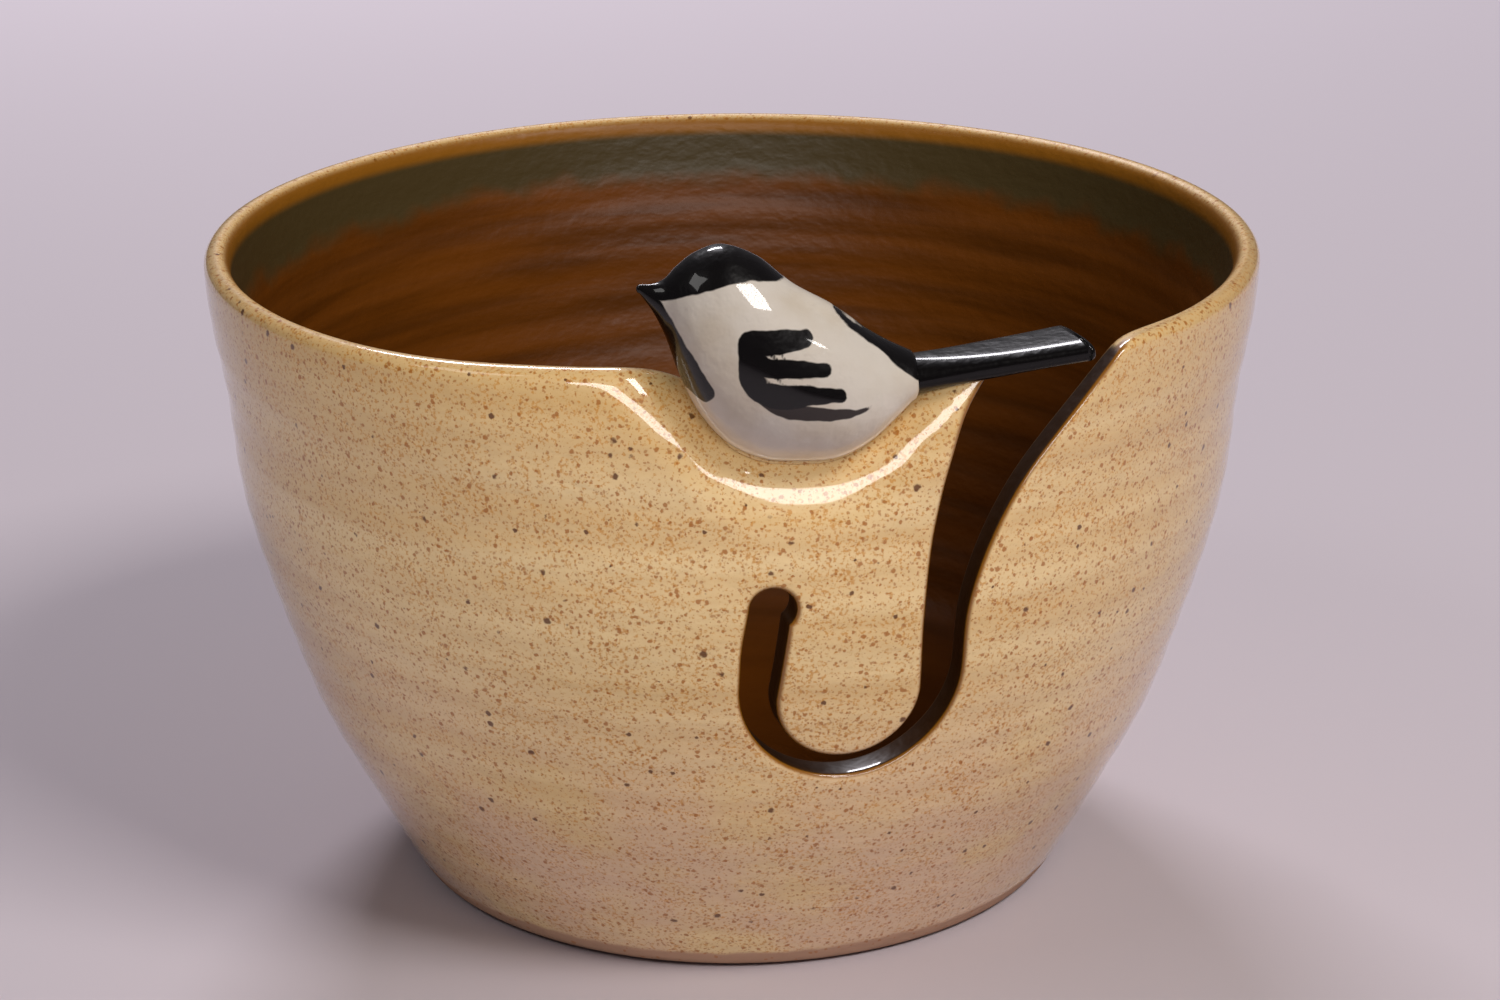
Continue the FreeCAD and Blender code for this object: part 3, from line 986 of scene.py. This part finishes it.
class LutingBead:
    """The fillet of slip that seals the bird's base to the dish."""

    ARC = 7

    def __init__(self, place: BirdPlace, bowl: bpy.types.Object, bird: bpy.types.Object) -> None:
        """Keeps the surfaces that meet at the crease."""
        self.place = place
        self.bowl = bowl
        self.bird = bird

    def crease(self) -> list[tuple[Vector, Vector, Vector]]:
        """Walks down the bird's two sides to where it meets the bowl.

        Returns:
            Points of the crease with the bird's and the bowl's normals, in order round the bird.
        """
        trees = []
        for piece in (self.bowl, self.bird):
            verts = [v.co.copy() for v in piece.data.vertices]
            trees.append(BVHTree.FromPolygons(verts, [tuple(p.vertices) for p in piece.data.polygons]))
        bowl_tree, bird_tree = trees
        rows = curve_through(BirdBody.SECTIONS, 0.8)
        loop = []
        for side in (1.0, -1.0):
            found = []
            for b, middle, half_height, half_width in rows:
                sweep = np.radians(np.linspace(20.0, -88.0, 110))
                egg = 1.0 - self.place.sizes.egg * np.sin(sweep)
                across = side * half_width * egg * np.cos(sweep)
                above = middle + half_height * np.sin(sweep)
                line = self.place.put(np.full(len(sweep), b), across, above) * MM
                for point in line:
                    near, normal, _, _ = bowl_tree.find_nearest(Vector(point))
                    if (Vector(point) - near).dot(normal) < 0.0:
                        _, bird_normal, _, _ = bird_tree.find_nearest(near)
                        found.append((near.copy(), bird_normal.copy(), normal.copy()))
                        break
            loop += found if side > 0.0 else found[::-1]
        return loop

    def build(self) -> bpy.types.Object:
        """Makes the bead's mesh, a closed rounded thread.

        Returns:
            The bead.
        """
        loop = self.crease()
        count = len(loop)
        where = np.array([p[0] for p in loop]) / MM
        up_bird = np.array([p[1] for p in loop])
        up_bowl = np.array([p[2] for p in loop])
        for _ in range(6):
            where, up_bird, up_bowl = (
                (np.roll(v, 1, 0) + 2.0 * v + np.roll(v, -1, 0)) / 4.0 for v in (where, up_bird, up_bowl)
            )
        along = np.roll(where, -1, 0) - np.roll(where, 1, 0)
        along /= np.linalg.norm(along, axis=1)[:, None]
        on_bird = np.cross(along, up_bird)
        on_bird *= np.sign((on_bird * up_bowl).sum(axis=1))[:, None]
        on_bowl = np.cross(along, up_bowl)
        on_bowl *= np.sign((on_bowl * up_bird).sum(axis=1))[:, None]
        size = self.place.sizes.bead
        rings = []
        for share in np.linspace(0.0, 1.0, self.ARC):
            turn = share * math.pi / 2.0
            rings.append(where + size * (math.cos(turn) * on_bird + math.sin(turn) * on_bowl))
        rings.append(where - 0.35 * (up_bird + up_bowl))
        rings.append(where + 0.45 * on_bird - 0.35 * up_bird)
        points = np.stack(rings, axis=1).reshape(-1, 3)
        faces = ring_faces(count, len(rings))
        final = (count - 1) * len(rings)
        faces += [
            (final + i, final + (i + 1) % len(rings), (i + 1) % len(rings), i) for i in range(len(rings))
        ]
        total = len(points)
        marks = {"inside": np.zeros(total), "rim_drop": np.full(total, 9.0), "near_cut": np.zeros(total)}
        return mesh_object("slip_bead", points, faces, marks)


# ---------------------------------------------------------------- throwing rings


@dataclass
class ThrowingRings:
    """The low spiral that the thrower's fingers leave, in metres."""

    pitch: float = 0.0062
    outside_depth: float = 0.00005
    inside_depth: float = 0.00010
    wobble: float = 0.9
    seed: float = 4.7


class RingTree(Wiring):
    """The geometry tree that raises the throwing rings on the bowl."""

    def __init__(self) -> None:
        """Builds the tree and its named inputs."""
        super().__init__(bpy.data.node_groups.new("throwing_rings", "GeometryNodeTree"))
        face = self.tree.interface
        self.sockets = {}
        face.new_socket("Geometry", in_out="INPUT", socket_type="NodeSocketGeometry")
        for name in ("Ring pitch", "Outside depth", "Inside depth", "Wobble", "Seed"):
            self.sockets[name] = face.new_socket(name, in_out="INPUT", socket_type="NodeSocketFloat").identifier
        glaze = face.new_socket("Glaze", in_out="INPUT", socket_type="NodeSocketMaterial")
        self.sockets["Glaze"] = glaze.identifier
        face.new_socket("Geometry", in_out="OUTPUT", socket_type="NodeSocketGeometry")
        given = self.add("NodeGroupInput").node.outputs
        place = self.add("GeometryNodeInputPosition")
        normal = self.add("GeometryNodeInputNormal")
        offset = self.add("ShaderNodeVectorMath", {0: normal, "Scale": self._rise(given, place)}, operation="SCALE")
        moved = self.add("GeometryNodeSetPosition", {"Geometry": given["Geometry"], "Offset": offset})
        real = self.add("GeometryNodeRealizeInstances", {"Geometry": moved})
        glazed = self.add("GeometryNodeSetMaterial", {"Geometry": real, "Material": given["Glaze"]})
        self.add("NodeGroupOutput", {0: glazed})

    def _rise(self, given: Any, place: Any) -> Any:
        """How far each point moves out.

        Args:
            given: the tree's inputs.
            place: each point's position.

        Returns:
            A spiral wave that dies away near the rim, the slot and the foot.
        """
        add = self.add
        axes = add("ShaderNodeSeparateXYZ", {0: place}).node.outputs
        front = add("ShaderNodeMath", {0: axes["Y"], 1: -1.0}, operation="MULTIPLY")
        turn = add("ShaderNodeMath", {0: axes["X"], 1: front}, operation="ARCTAN2")
        drift = add("ShaderNodeTexNoise", {
            "Vector": place, "W": given["Seed"], "Scale": 24.0, "Detail": 2.0,
        }, noise_dimensions="4D")
        climb = add("ShaderNodeMath", {0: axes["Z"], 1: given["Ring pitch"]}, operation="DIVIDE")
        spiral = add("ShaderNodeMath", {0: turn, 1: 0.5 / math.pi, 2: climb}, operation="MULTIPLY_ADD")
        phase = add("ShaderNodeMath", {0: drift, 1: given["Wobble"], 2: spiral}, operation="MULTIPLY_ADD")
        angle = add("ShaderNodeMath", {0: phase, 1: 2.0 * math.pi}, operation="MULTIPLY")
        wave = add("ShaderNodeMath", {0: angle}, operation="SINE")
        inside = add("GeometryNodeInputNamedAttribute", {"Name": "inside"}, data_type="FLOAT")
        drop = add("GeometryNodeInputNamedAttribute", {"Name": "rim_drop"}, data_type="FLOAT")
        cut = add("GeometryNodeInputNamedAttribute", {"Name": "near_cut"}, data_type="FLOAT")
        within = add("ShaderNodeMapRange", {0: inside, 1: 0.4, 2: 0.6}, **EASE)
        depth = add("ShaderNodeMix", {0: within, 2: given["Outside depth"], 3: given["Inside depth"]})
        amount = add("ShaderNodeMath", {0: wave, 1: depth}, operation="MULTIPLY")
        for fade in (
            add("ShaderNodeMapRange", {0: drop, 1: 3.0, 2: 14.0}, **EASE),
            add("ShaderNodeMapRange", {0: cut, 1: 0.25, 2: 0.02}, **EASE),
            add("ShaderNodeMapRange", {0: axes["Z"], 1: 0.003, 2: 0.012}, **EASE),
        ):
            amount = add("ShaderNodeMath", {0: amount, 1: fade}, operation="MULTIPLY")
        return amount

    def throw(self, piece: bpy.types.Object, rings: ThrowingRings, glaze: bpy.types.Material) -> None:
        """Runs the tree on a piece and keeps the result as its plain mesh.

        Args:
            piece: the piece to work on.
            rings: the rings' sizes.
            glaze: the material that the tree sets.
        """
        raised = piece.modifiers.new("throwing", "NODES")
        raised.node_group = self.tree
        raised[self.sockets["Ring pitch"]] = rings.pitch
        raised[self.sockets["Outside depth"]] = rings.outside_depth
        raised[self.sockets["Inside depth"]] = rings.inside_depth
        raised[self.sockets["Wobble"]] = rings.wobble
        raised[self.sockets["Seed"]] = rings.seed
        raised[self.sockets["Glaze"]] = glaze
        ready = bpy.context.evaluated_depsgraph_get()
        mesh = bpy.data.meshes.new_from_object(
            piece.evaluated_get(ready), preserve_all_data_layers=True, depsgraph=ready
        )
        piece.modifiers.remove(raised)
        piece.data = mesh
        piece.data.polygons.foreach_set("use_smooth", [True] * len(mesh.polygons))


# ---------------------------------------------------------------- glazes


@dataclass(frozen=True)
class StonewareFinish:
    """Colours of the bowl's glazes, with painted shade in the cut face's colour, and its speckle sizes in millimetres.
    """

    oatmeal: str = "d6b988"
    oatmeal_dark: str = "caa874"
    oatmeal_grey: str = "c8a68c"
    rim_tint: str = "bf9a60"
    grain: str = "b4761c"
    speckle: str = "945408"
    speckle_dark: str = "552c06"
    amber: str = "603206"
    amber_dark: str = "482402"
    band: str = "40331a"
    break_line: str = "80500f"
    cut_face_glaze_and_shade: str = "2c1806"
    clay: str = "a5826c"
    coarse: tuple[float, float, float] = (2.9, 0.48, 0.4)
    medium: tuple[float, float, float] = (1.25, 0.34, 0.75)
    fine: tuple[float, float, float] = (0.66, 0.22, 0.85)


@dataclass(frozen=True)
class BirdFinish:
    """Colours of the bird's glazes."""

    white: str = "e9e0d2"
    cream: str = "dfd2be"
    black: str = "080505"
    grey: str = "302723"


class Glaze(Wiring):
    """One material, wired up in millimetres of the object's own space."""

    def __init__(self, name: str) -> None:
        """Starts the material with its millimetre coordinates.

        Args:
            name: the material's name.
        """
        self.material = bpy.data.materials.new(name)
        self.material.use_nodes = True
        super().__init__(self.material.node_tree)
        spot = self.add("ShaderNodeTexCoord", out="Object")
        self.mm = self.add("ShaderNodeVectorMath", {0: spot, 1: (1000.0, 1000.0, 1000.0)}, operation="MULTIPLY")

    def cloud(self, along: float, up: float, detail: float, low: float, high: float, most: float = 1.0) -> Any:
        """An uneven patchiness, such as brushed or dipped glaze has.

        Args:
            along: patches to the millimetre, level.
            up: patches to the millimetre, upright.
            detail: how finely broken they are.
            low: the noise at which a patch starts.
            high: the noise at which it is full.
            most: its greatest value.

        Returns:
            Nought to the greatest value.
        """
        place = self.add("ShaderNodeVectorMath", {0: self.mm, 1: (along, along, up)}, operation="MULTIPLY")
        noise = self.add("ShaderNodeTexNoise", {"Vector": place, "Scale": 1.0, "Detail": detail})
        return self.add("ShaderNodeMapRange", {0: noise, 1: low, 2: high, 4: most}, **EASE)

    def skin(self, depth: float, along: float = 0.5, up: float = 0.5) -> Any:
        """The soft unevenness of a melted surface, as a normal, with its depth in metres."""
        return self.add("ShaderNodeBump", {"Height": self.cloud(along, up, 2.0, 0.2, 0.8), "Distance": depth})

    def fired(self, **sockets: Any) -> bpy.types.Material:
        """Ends the material in one surface.

        Args:
            **sockets: what each input takes, by its name in small letters.

        Returns:
            The finished material.
        """
        surface = self.add("ShaderNodeBsdfPrincipled").node
        for key, value in sockets.items():
            socket = surface.inputs[key.replace("_", " ").title().replace("Ior", "IOR")]
            if isinstance(value, bpy.types.NodeSocket):
                self.tree.links.new(value, socket)
            else:
                socket.default_value = value
        self.add("ShaderNodeOutputMaterial", {0: surface.outputs[0]})
        return self.material


class StonewareGlaze(Glaze):
    """Glossy oatmeal stoneware glaze over an iron-speckled body, with an iron amber liner.

    The iron burns through the pale glaze as rusty dots.  Where the glaze runs thin, at the rim and
    the slot, it breaks to amber.  The foot is left bare, so the clay there is dull.
    """

    def __init__(self, finish: StonewareFinish) -> None:
        """Keeps the finish, and reads the bowl's own marks.

        Args:
            finish: the glazes' colours.
        """
        # Speckled stoneware: a warm, wet-looking skin with rusty freckles sunk in it.
        super().__init__("speckled_stoneware_glaze")
        self.finish = finish
        self.height = self.add("ShaderNodeSeparateXYZ", {0: self.mm}, out="Z")
        self.side = self.add("ShaderNodeAttribute", out="Fac", attribute_name="inside")
        self.drop = self.add("ShaderNodeAttribute", out="Fac", attribute_name="rim_drop")
        self.cut = self.add("ShaderNodeAttribute", out="Fac", attribute_name="near_cut")
        self.inside = self.add("ShaderNodeMapRange", {0: self.side, 1: 0.42, 2: 0.62}, **EASE)
        self.outside = self.add("ShaderNodeMath", {0: 1.0, 1: self.inside}, operation="SUBTRACT")
        ragged = self.add("ShaderNodeTexNoise", {"Vector": self.mm, "Scale": 1.6, "Detail": 1.0}, out="Color")
        self.warped = self.add("ShaderNodeVectorMath", {
            0: ragged, 1: (0.55, 0.55, 0.55), 2: self.mm,
        }, operation="MULTIPLY_ADD")

    def speckles(self, cell: float, dot: float, share: float) -> Any:
        """Scattered rusty dots of uneven size.

        Args:
            cell: mean spacing in millimetres.
            dot: radius in millimetres.
            share: how many of the cells hold a dot.

        Returns:
            One in a dot and nought outside.
        """
        cells = self.add("ShaderNodeTexVoronoi", {"Vector": self.warped, "Scale": 1.0 / cell}).node
        chance = self.add("ShaderNodeSeparateColor", {0: cells.outputs["Color"]}).node
        size = self.add("ShaderNodeMath", {
            0: chance.outputs[1], 1: dot / cell, 2: 0.45 * dot / cell,
        }, operation="MULTIPLY_ADD")
        away = self.add("ShaderNodeMath", {0: cells.outputs["Distance"], 1: size}, operation="DIVIDE")
        spot = self.add("ShaderNodeMapRange", {0: away, 1: 1.0, 2: 0.55}, **EASE)
        held = self.add("ShaderNodeMath", {0: chance.outputs[0], 1: share}, operation="LESS_THAN")
        return self.add("ShaderNodeMath", {0: spot, 1: held}, operation="MULTIPLY")

    def oatmeal(self) -> Any:
        """The outside's colour: streaked by throwing, greyer low down, and speckled all over.

        Returns:
            The colour's socket.
        """
        f = self.finish
        streak = self.cloud(0.014, 0.2, 3.0, 0.32, 0.7)
        colour = self.add("ShaderNodeMix", {0: streak, 6: linear(f.oatmeal), 7: linear(f.oatmeal_dark)}, **COLOUR)
        low = self.add("ShaderNodeMapRange", {0: self.height, 1: 62.0, 2: 16.0, 4: 0.8}, **EASE)
        patchy = self.cloud(0.045, 0.07, 3.0, 0.3, 0.6)
        greyed = self.add("ShaderNodeMath", {0: low, 1: patchy}, operation="MULTIPLY")
        colour = self.add("ShaderNodeMix", {0: greyed, 6: colour, 7: linear(f.oatmeal_grey)}, **COLOUR)
        high = self.add("ShaderNodeMapRange", {0: self.drop, 1: 16.0, 2: 3.0, 4: 0.5}, **EASE)
        colour = self.add("ShaderNodeMix", {0: high, 6: colour, 7: linear(f.rim_tint)}, **COLOUR)
        grain = self.add("ShaderNodeTexNoise", {"Vector": self.mm, "Scale": 1.9, "Detail": 2.0, "Roughness": 0.6})
        crowd = self.add("ShaderNodeMath", {0: grain, 1: self.cloud(0.16, 0.16, 2.0, 0.3, 0.7, 0.08)}, operation="ADD")
        rust = self.add("ShaderNodeMapRange", {0: crowd, 1: 0.55, 2: 0.72, 4: 0.7}, **EASE)
        colour = self.add("ShaderNodeMix", {0: rust, 6: colour, 7: linear(f.grain)}, **COLOUR)
        for sizes, ink, strength in (
            (f.fine, f.speckle, 0.6), (f.medium, f.speckle, 0.8), (f.coarse, f.speckle_dark, 0.92),
        ):
            dots = self.add("ShaderNodeMath", {0: self.speckles(*sizes), 1: strength}, operation="MULTIPLY")
            colour = self.add("ShaderNodeMix", {0: dots, 6: colour, 7: linear(ink)}, **COLOUR)
        return colour

    def liner(self) -> Any:
        """The inside's colour: ringed amber, with a grey-green band under a bright broken lip.

        Returns:
            The colour's socket.
        """
        f = self.finish
        rings = self.cloud(0.02, 0.3, 3.0, 0.3, 0.75)
        colour = self.add("ShaderNodeMix", {0: rings, 6: linear(f.amber), 7: linear(f.amber_dark)}, **COLOUR)
        ragged = self.cloud(0.12, 0.12, 3.0, 0.0, 1.0, 5.0)
        below = self.add("ShaderNodeMath", {0: self.drop, 1: ragged}, operation="ADD")
        band = self.add("ShaderNodeMapRange", {0: below, 1: 15.5, 2: 11.0}, **EASE)
        colour = self.add("ShaderNodeMix", {0: band, 6: colour, 7: linear(f.band)}, **COLOUR)
        lip = self.add("ShaderNodeMapRange", {0: self.drop, 1: 3.6, 2: 2.0}, **EASE)
        return self.add("ShaderNodeMix", {0: lip, 6: colour, 7: linear(f.break_line)}, **COLOUR)

    def make(self) -> bpy.types.Material:
        """Puts the two glazes, the worn edges, the cut face's dark brown glaze with painted shade, and the bare foot
        together.

        Returns:
            The finished material.
        """
        f = self.finish
        over = self.add("ShaderNodeMapRange", {0: self.side, 1: 0.72, 2: 0.97}, **EASE)
        colour = self.add("ShaderNodeMix", {0: over, 6: self.oatmeal(), 7: self.liner()}, **COLOUR)
        edge = self.add("ShaderNodeMapRange", {0: self.cut, 1: 0.45, 2: 0.8}, **EASE)
        worn = self.add("ShaderNodeMath", {0: edge, 1: self.outside}, operation="MULTIPLY")
        colour = self.add("ShaderNodeMix", {0: worn, 6: colour, 7: linear(f.break_line)}, **COLOUR)
        # The slot's cut face: dark brown glaze, darkened further as painted shade for the slot's recess.
        face = self.add("ShaderNodeMapRange", {0: self.cut, 1: 0.86, 2: 0.98}, **EASE)
        colour = self.add("ShaderNodeMix", {0: face, 6: colour, 7: linear(f.cut_face_glaze_and_shade)}, **COLOUR)
        waver = self.cloud(0.12, 0.12, 3.0, 0.0, 1.0, 1.6)
        line = self.add("ShaderNodeMath", {0: self.height, 1: waver}, operation="ADD")
        foot = self.add("ShaderNodeMapRange", {0: line, 1: 4.4, 2: 3.4}, **EASE)
        bare = self.add("ShaderNodeMath", {0: foot, 1: self.outside}, operation="MULTIPLY")
        rusty = self.add("ShaderNodeMath", {0: self.speckles(*f.medium), 1: 0.5}, operation="MULTIPLY")
        clay = self.add("ShaderNodeMix", {0: rusty, 6: linear(f.clay), 7: linear(f.speckle)}, **COLOUR)
        colour = self.add("ShaderNodeMix", {0: bare, 6: colour, 7: clay}, **COLOUR)
        behind_edge = self.add("ShaderNodeMapRange", {0: self.side, 1: 0.12, 2: 0.3}, **EASE)
        dull_cut = self.add("ShaderNodeMath", {0: face, 1: behind_edge}, operation="MULTIPLY")
        dull = self.add("ShaderNodeMath", {0: self.inside, 1: dull_cut}, operation="MAXIMUM")
        dull = self.add("ShaderNodeMath", {0: dull, 1: bare}, operation="MAXIMUM")
        shine = self.add("ShaderNodeMath", {0: 1.0, 1: dull}, operation="SUBTRACT")
        rough = self.add("ShaderNodeMapRange", {0: bare, 3: 0.4, 4: 0.85})
        return self.fired(
            base_color=colour, normal=self.skin(0.00008, 0.3, 0.5), roughness=rough, specular_ior_level=0.2,
            coat_weight=shine, coat_roughness=0.06,
        )


class BirdGlaze(Glaze):
    """Clear glaze over white slip, with brushed underglaze.

    The slip is a warm white, the brush marks have soft sure edges, and the clear coat gives small
    bright highlights all over.
    """

    def make(self, finish: BirdFinish) -> bpy.types.Material:
        """Lays the grey and then the black over the white.

        Args:
            finish: the colours.

        Returns:
            The finished material.
        """
        waver = self.cloud(0.5, 0.5, 1.0, 0.0, 1.0, 0.35)
        colour = self.add("ShaderNodeMix", {
            0: self.cloud(0.12, 0.12, 3.0, 0.35, 0.7), 6: linear(finish.white), 7: linear(finish.cream),
        }, **COLOUR)
        for name, ink in (("grey", finish.grey), ("black", finish.black)):
            away = self.add("ShaderNodeAttribute", out="Fac", attribute_name=name)
            away = self.add("ShaderNodeMath", {0: away, 1: waver}, operation="ADD")
            brushed = self.add("ShaderNodeMapRange", {0: away, 1: 0.32, 2: 0.08}, **EASE)
            colour = self.add("ShaderNodeMix", {0: brushed, 6: colour, 7: linear(ink)}, **COLOUR)
        return self.fired(
            base_color=colour, normal=self.skin(0.00008), roughness=0.4, specular_ior_level=0.1,
            coat_weight=0.8, coat_roughness=0.05,
        )


def black_glaze(finish: BirdFinish) -> bpy.types.Material:
    """Black underglaze under a clear coat: deep black, with long soft highlights.

    Args:
        finish: the colours.

    Returns:
        The finished material.
    """
    # Black glaze: the eye reads its shape from the highlights alone.
    glaze = Glaze("black_tail_glaze")
    return glaze.fired(
        base_color=linear(finish.black), normal=glaze.skin(0.0001), roughness=0.4, specular_ior_level=0.1,
        coat_weight=0.5, coat_roughness=0.12,
    )


def studio_card(colour: str) -> bpy.types.Material:
    """Matt card: even and pale, with no shine."""
    # Card: the eye gets an unbroken ground that only the shadows mark.
    return Glaze("studio_card").fired(base_color=linear(colour), roughness=0.9, specular_ior_level=0.1)


# ---------------------------------------------------------------- the studio


@dataclass
class Studio:
    """The camera's and the lights' places, in metres and degrees."""

    camera_at: tuple[float, float, float] = (-0.1228, -0.4925, 0.2367)
    camera_look: tuple[float, float, float] = (0.2325, 0.9128, -0.3358)
    camera_roll: float = 0.3
    lens: float = 81.4
    floor_size: float = 5.0

    def camera(self) -> bpy.types.Object:
        """Adds the camera.

        Returns:
            The camera.
        """
        data = bpy.data.cameras.new("camera")
        data.lens = self.lens
        data.sensor_width = 36.0
        data.clip_start = 0.01
        shown = bpy.data.objects.new("camera", data)
        bpy.context.scene.collection.objects.link(shown)
        turn = Vector(self.camera_look).to_track_quat("-Z", "Y").to_matrix().to_4x4()
        roll = Matrix.Rotation(math.radians(-self.camera_roll), 4, "Z")
        shown.matrix_world = Matrix.Translation(self.camera_at) @ turn @ roll
        bpy.context.scene.camera = shown
        return shown

    def table(self) -> bpy.types.Object:
        """The pale card that the bowl stands on.

        Returns:
            The card.
        """
        half = self.floor_size / 2.0
        mesh = bpy.data.meshes.new("table")
        corners = [(-half, -half, 0.0), (half, -half, 0.0), (half, half, 0.0), (-half, half, 0.0)]
        mesh.from_pydata(corners, [], [(0, 1, 2, 3)])
        mesh.materials.append(studio_card("d0c7ce"))
        sheet = bpy.data.objects.new("table", mesh)
        bpy.context.scene.collection.objects.link(sheet)
        return sheet

    @staticmethod
    def soft_light(
        name: str, at: tuple, size: tuple, power: float, colour: str, aim: tuple = (0.0, 0.0, 0.06)
    ) -> bpy.types.Object:
        """Adds a rectangular soft light.

        Args:
            name: the light's name.
            at: its place.
            size: its width and height.
            power: its watts.
            colour: its sRGB hex colour.
            aim: the point that it faces.

        Returns:
            The light.
        """
        data = bpy.data.lights.new(name, "AREA")
        data.shape = "RECTANGLE"
        data.size, data.size_y = size
        data.energy = power
        data.color = linear(colour)[:3]
        lamp = bpy.data.objects.new(name, data)
        lamp.location = at
        lamp.rotation_euler = (Vector(aim) - Vector(at)).to_track_quat("-Z", "Y").to_euler()
        bpy.context.scene.collection.objects.link(lamp)
        return lamp

    def light(self, *glossy: bpy.types.Object) -> None:
        """Adds the lights and the room's own glow.

        Args:
            *glossy: the pieces that the long strip light shines on.
        """
        shining = bpy.data.collections.new("lit_by_strip")
        for piece in glossy:
            shining.objects.link(piece)
        self.soft_light("left", (-0.72, -0.2, 0.86), (0.42, 0.3), 1.0, "fffcfa")
        self.soft_light("right", (0.42, -0.66, 0.9), (0.42, 0.3), 7.5, "fffaf6")
        self.soft_light("behind", (0.1, 1.3, 1.2), (0.6, 0.3), 18.0, "fbf8ff", (0.1, 0.95, 0.0))
        strip = self.soft_light("strip", (-0.15, -0.88, 0.47), (1.0, 0.18), 6.0, "ffffff")
        strip.light_linking.receiver_collection = shining
        world = bpy.data.worlds.new("room")
        world.use_nodes = True
        world.node_tree.nodes["Background"].inputs[0].default_value = linear("d9d3db")
        world.node_tree.nodes["Background"].inputs[1].default_value = 0.1
        bpy.context.scene.world = world
        bpy.context.scene.view_settings.view_transform = "Standard"


def settle(piece: bpy.types.Object, node: str, finish: bpy.types.Material) -> None:
    """Gives a piece its material, and sets it on the part in place of its CAD node.

    Args:
        piece: the visible piece.
        node: the CAD node that it stands for.
        finish: the material.
    """
    if not piece.data.materials:
        piece.data.materials.append(finish)
    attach(piece, BODY)
    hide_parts(node)
    log.info("%s: %d faces, for %s", piece.name, len(piece.data.polygons), node)


def main() -> None:
    """Builds the bowl and its bird, glazes them, and sets up the studio."""
    logging.basicConfig(level=logging.INFO, format="%(name)s: %(message)s")
    rule = WallRule(BowlSizes(), DishSizes(), SlotSizes())
    place = BirdPlace(rule, BirdSizes())
    glaze = StonewareGlaze(StonewareFinish()).make()
    bowl = ThrownBowl(rule).build()
    bird = BirdBody(place).build()
    tail = BirdTail(place).build()
    bead = LutingBead(place, bowl, bird).build()
    RingTree().throw(bowl, ThrowingRings(), glaze)
    settle(bowl, "thrown_bowl", glaze)
    # White bird glaze: a creamy gloss, so that the brushed black stands out.
    settle(bird, "bird_body", BirdGlaze("white_bird_glaze").make(BirdFinish()))
    settle(tail, "bird_tail", black_glaze(BirdFinish()))
    settle(bead, "luting_bead", glaze)
    studio = Studio()
    studio.table()
    studio.light(bowl, bead)
    studio.camera()


if __name__ == "__main__":
    main()
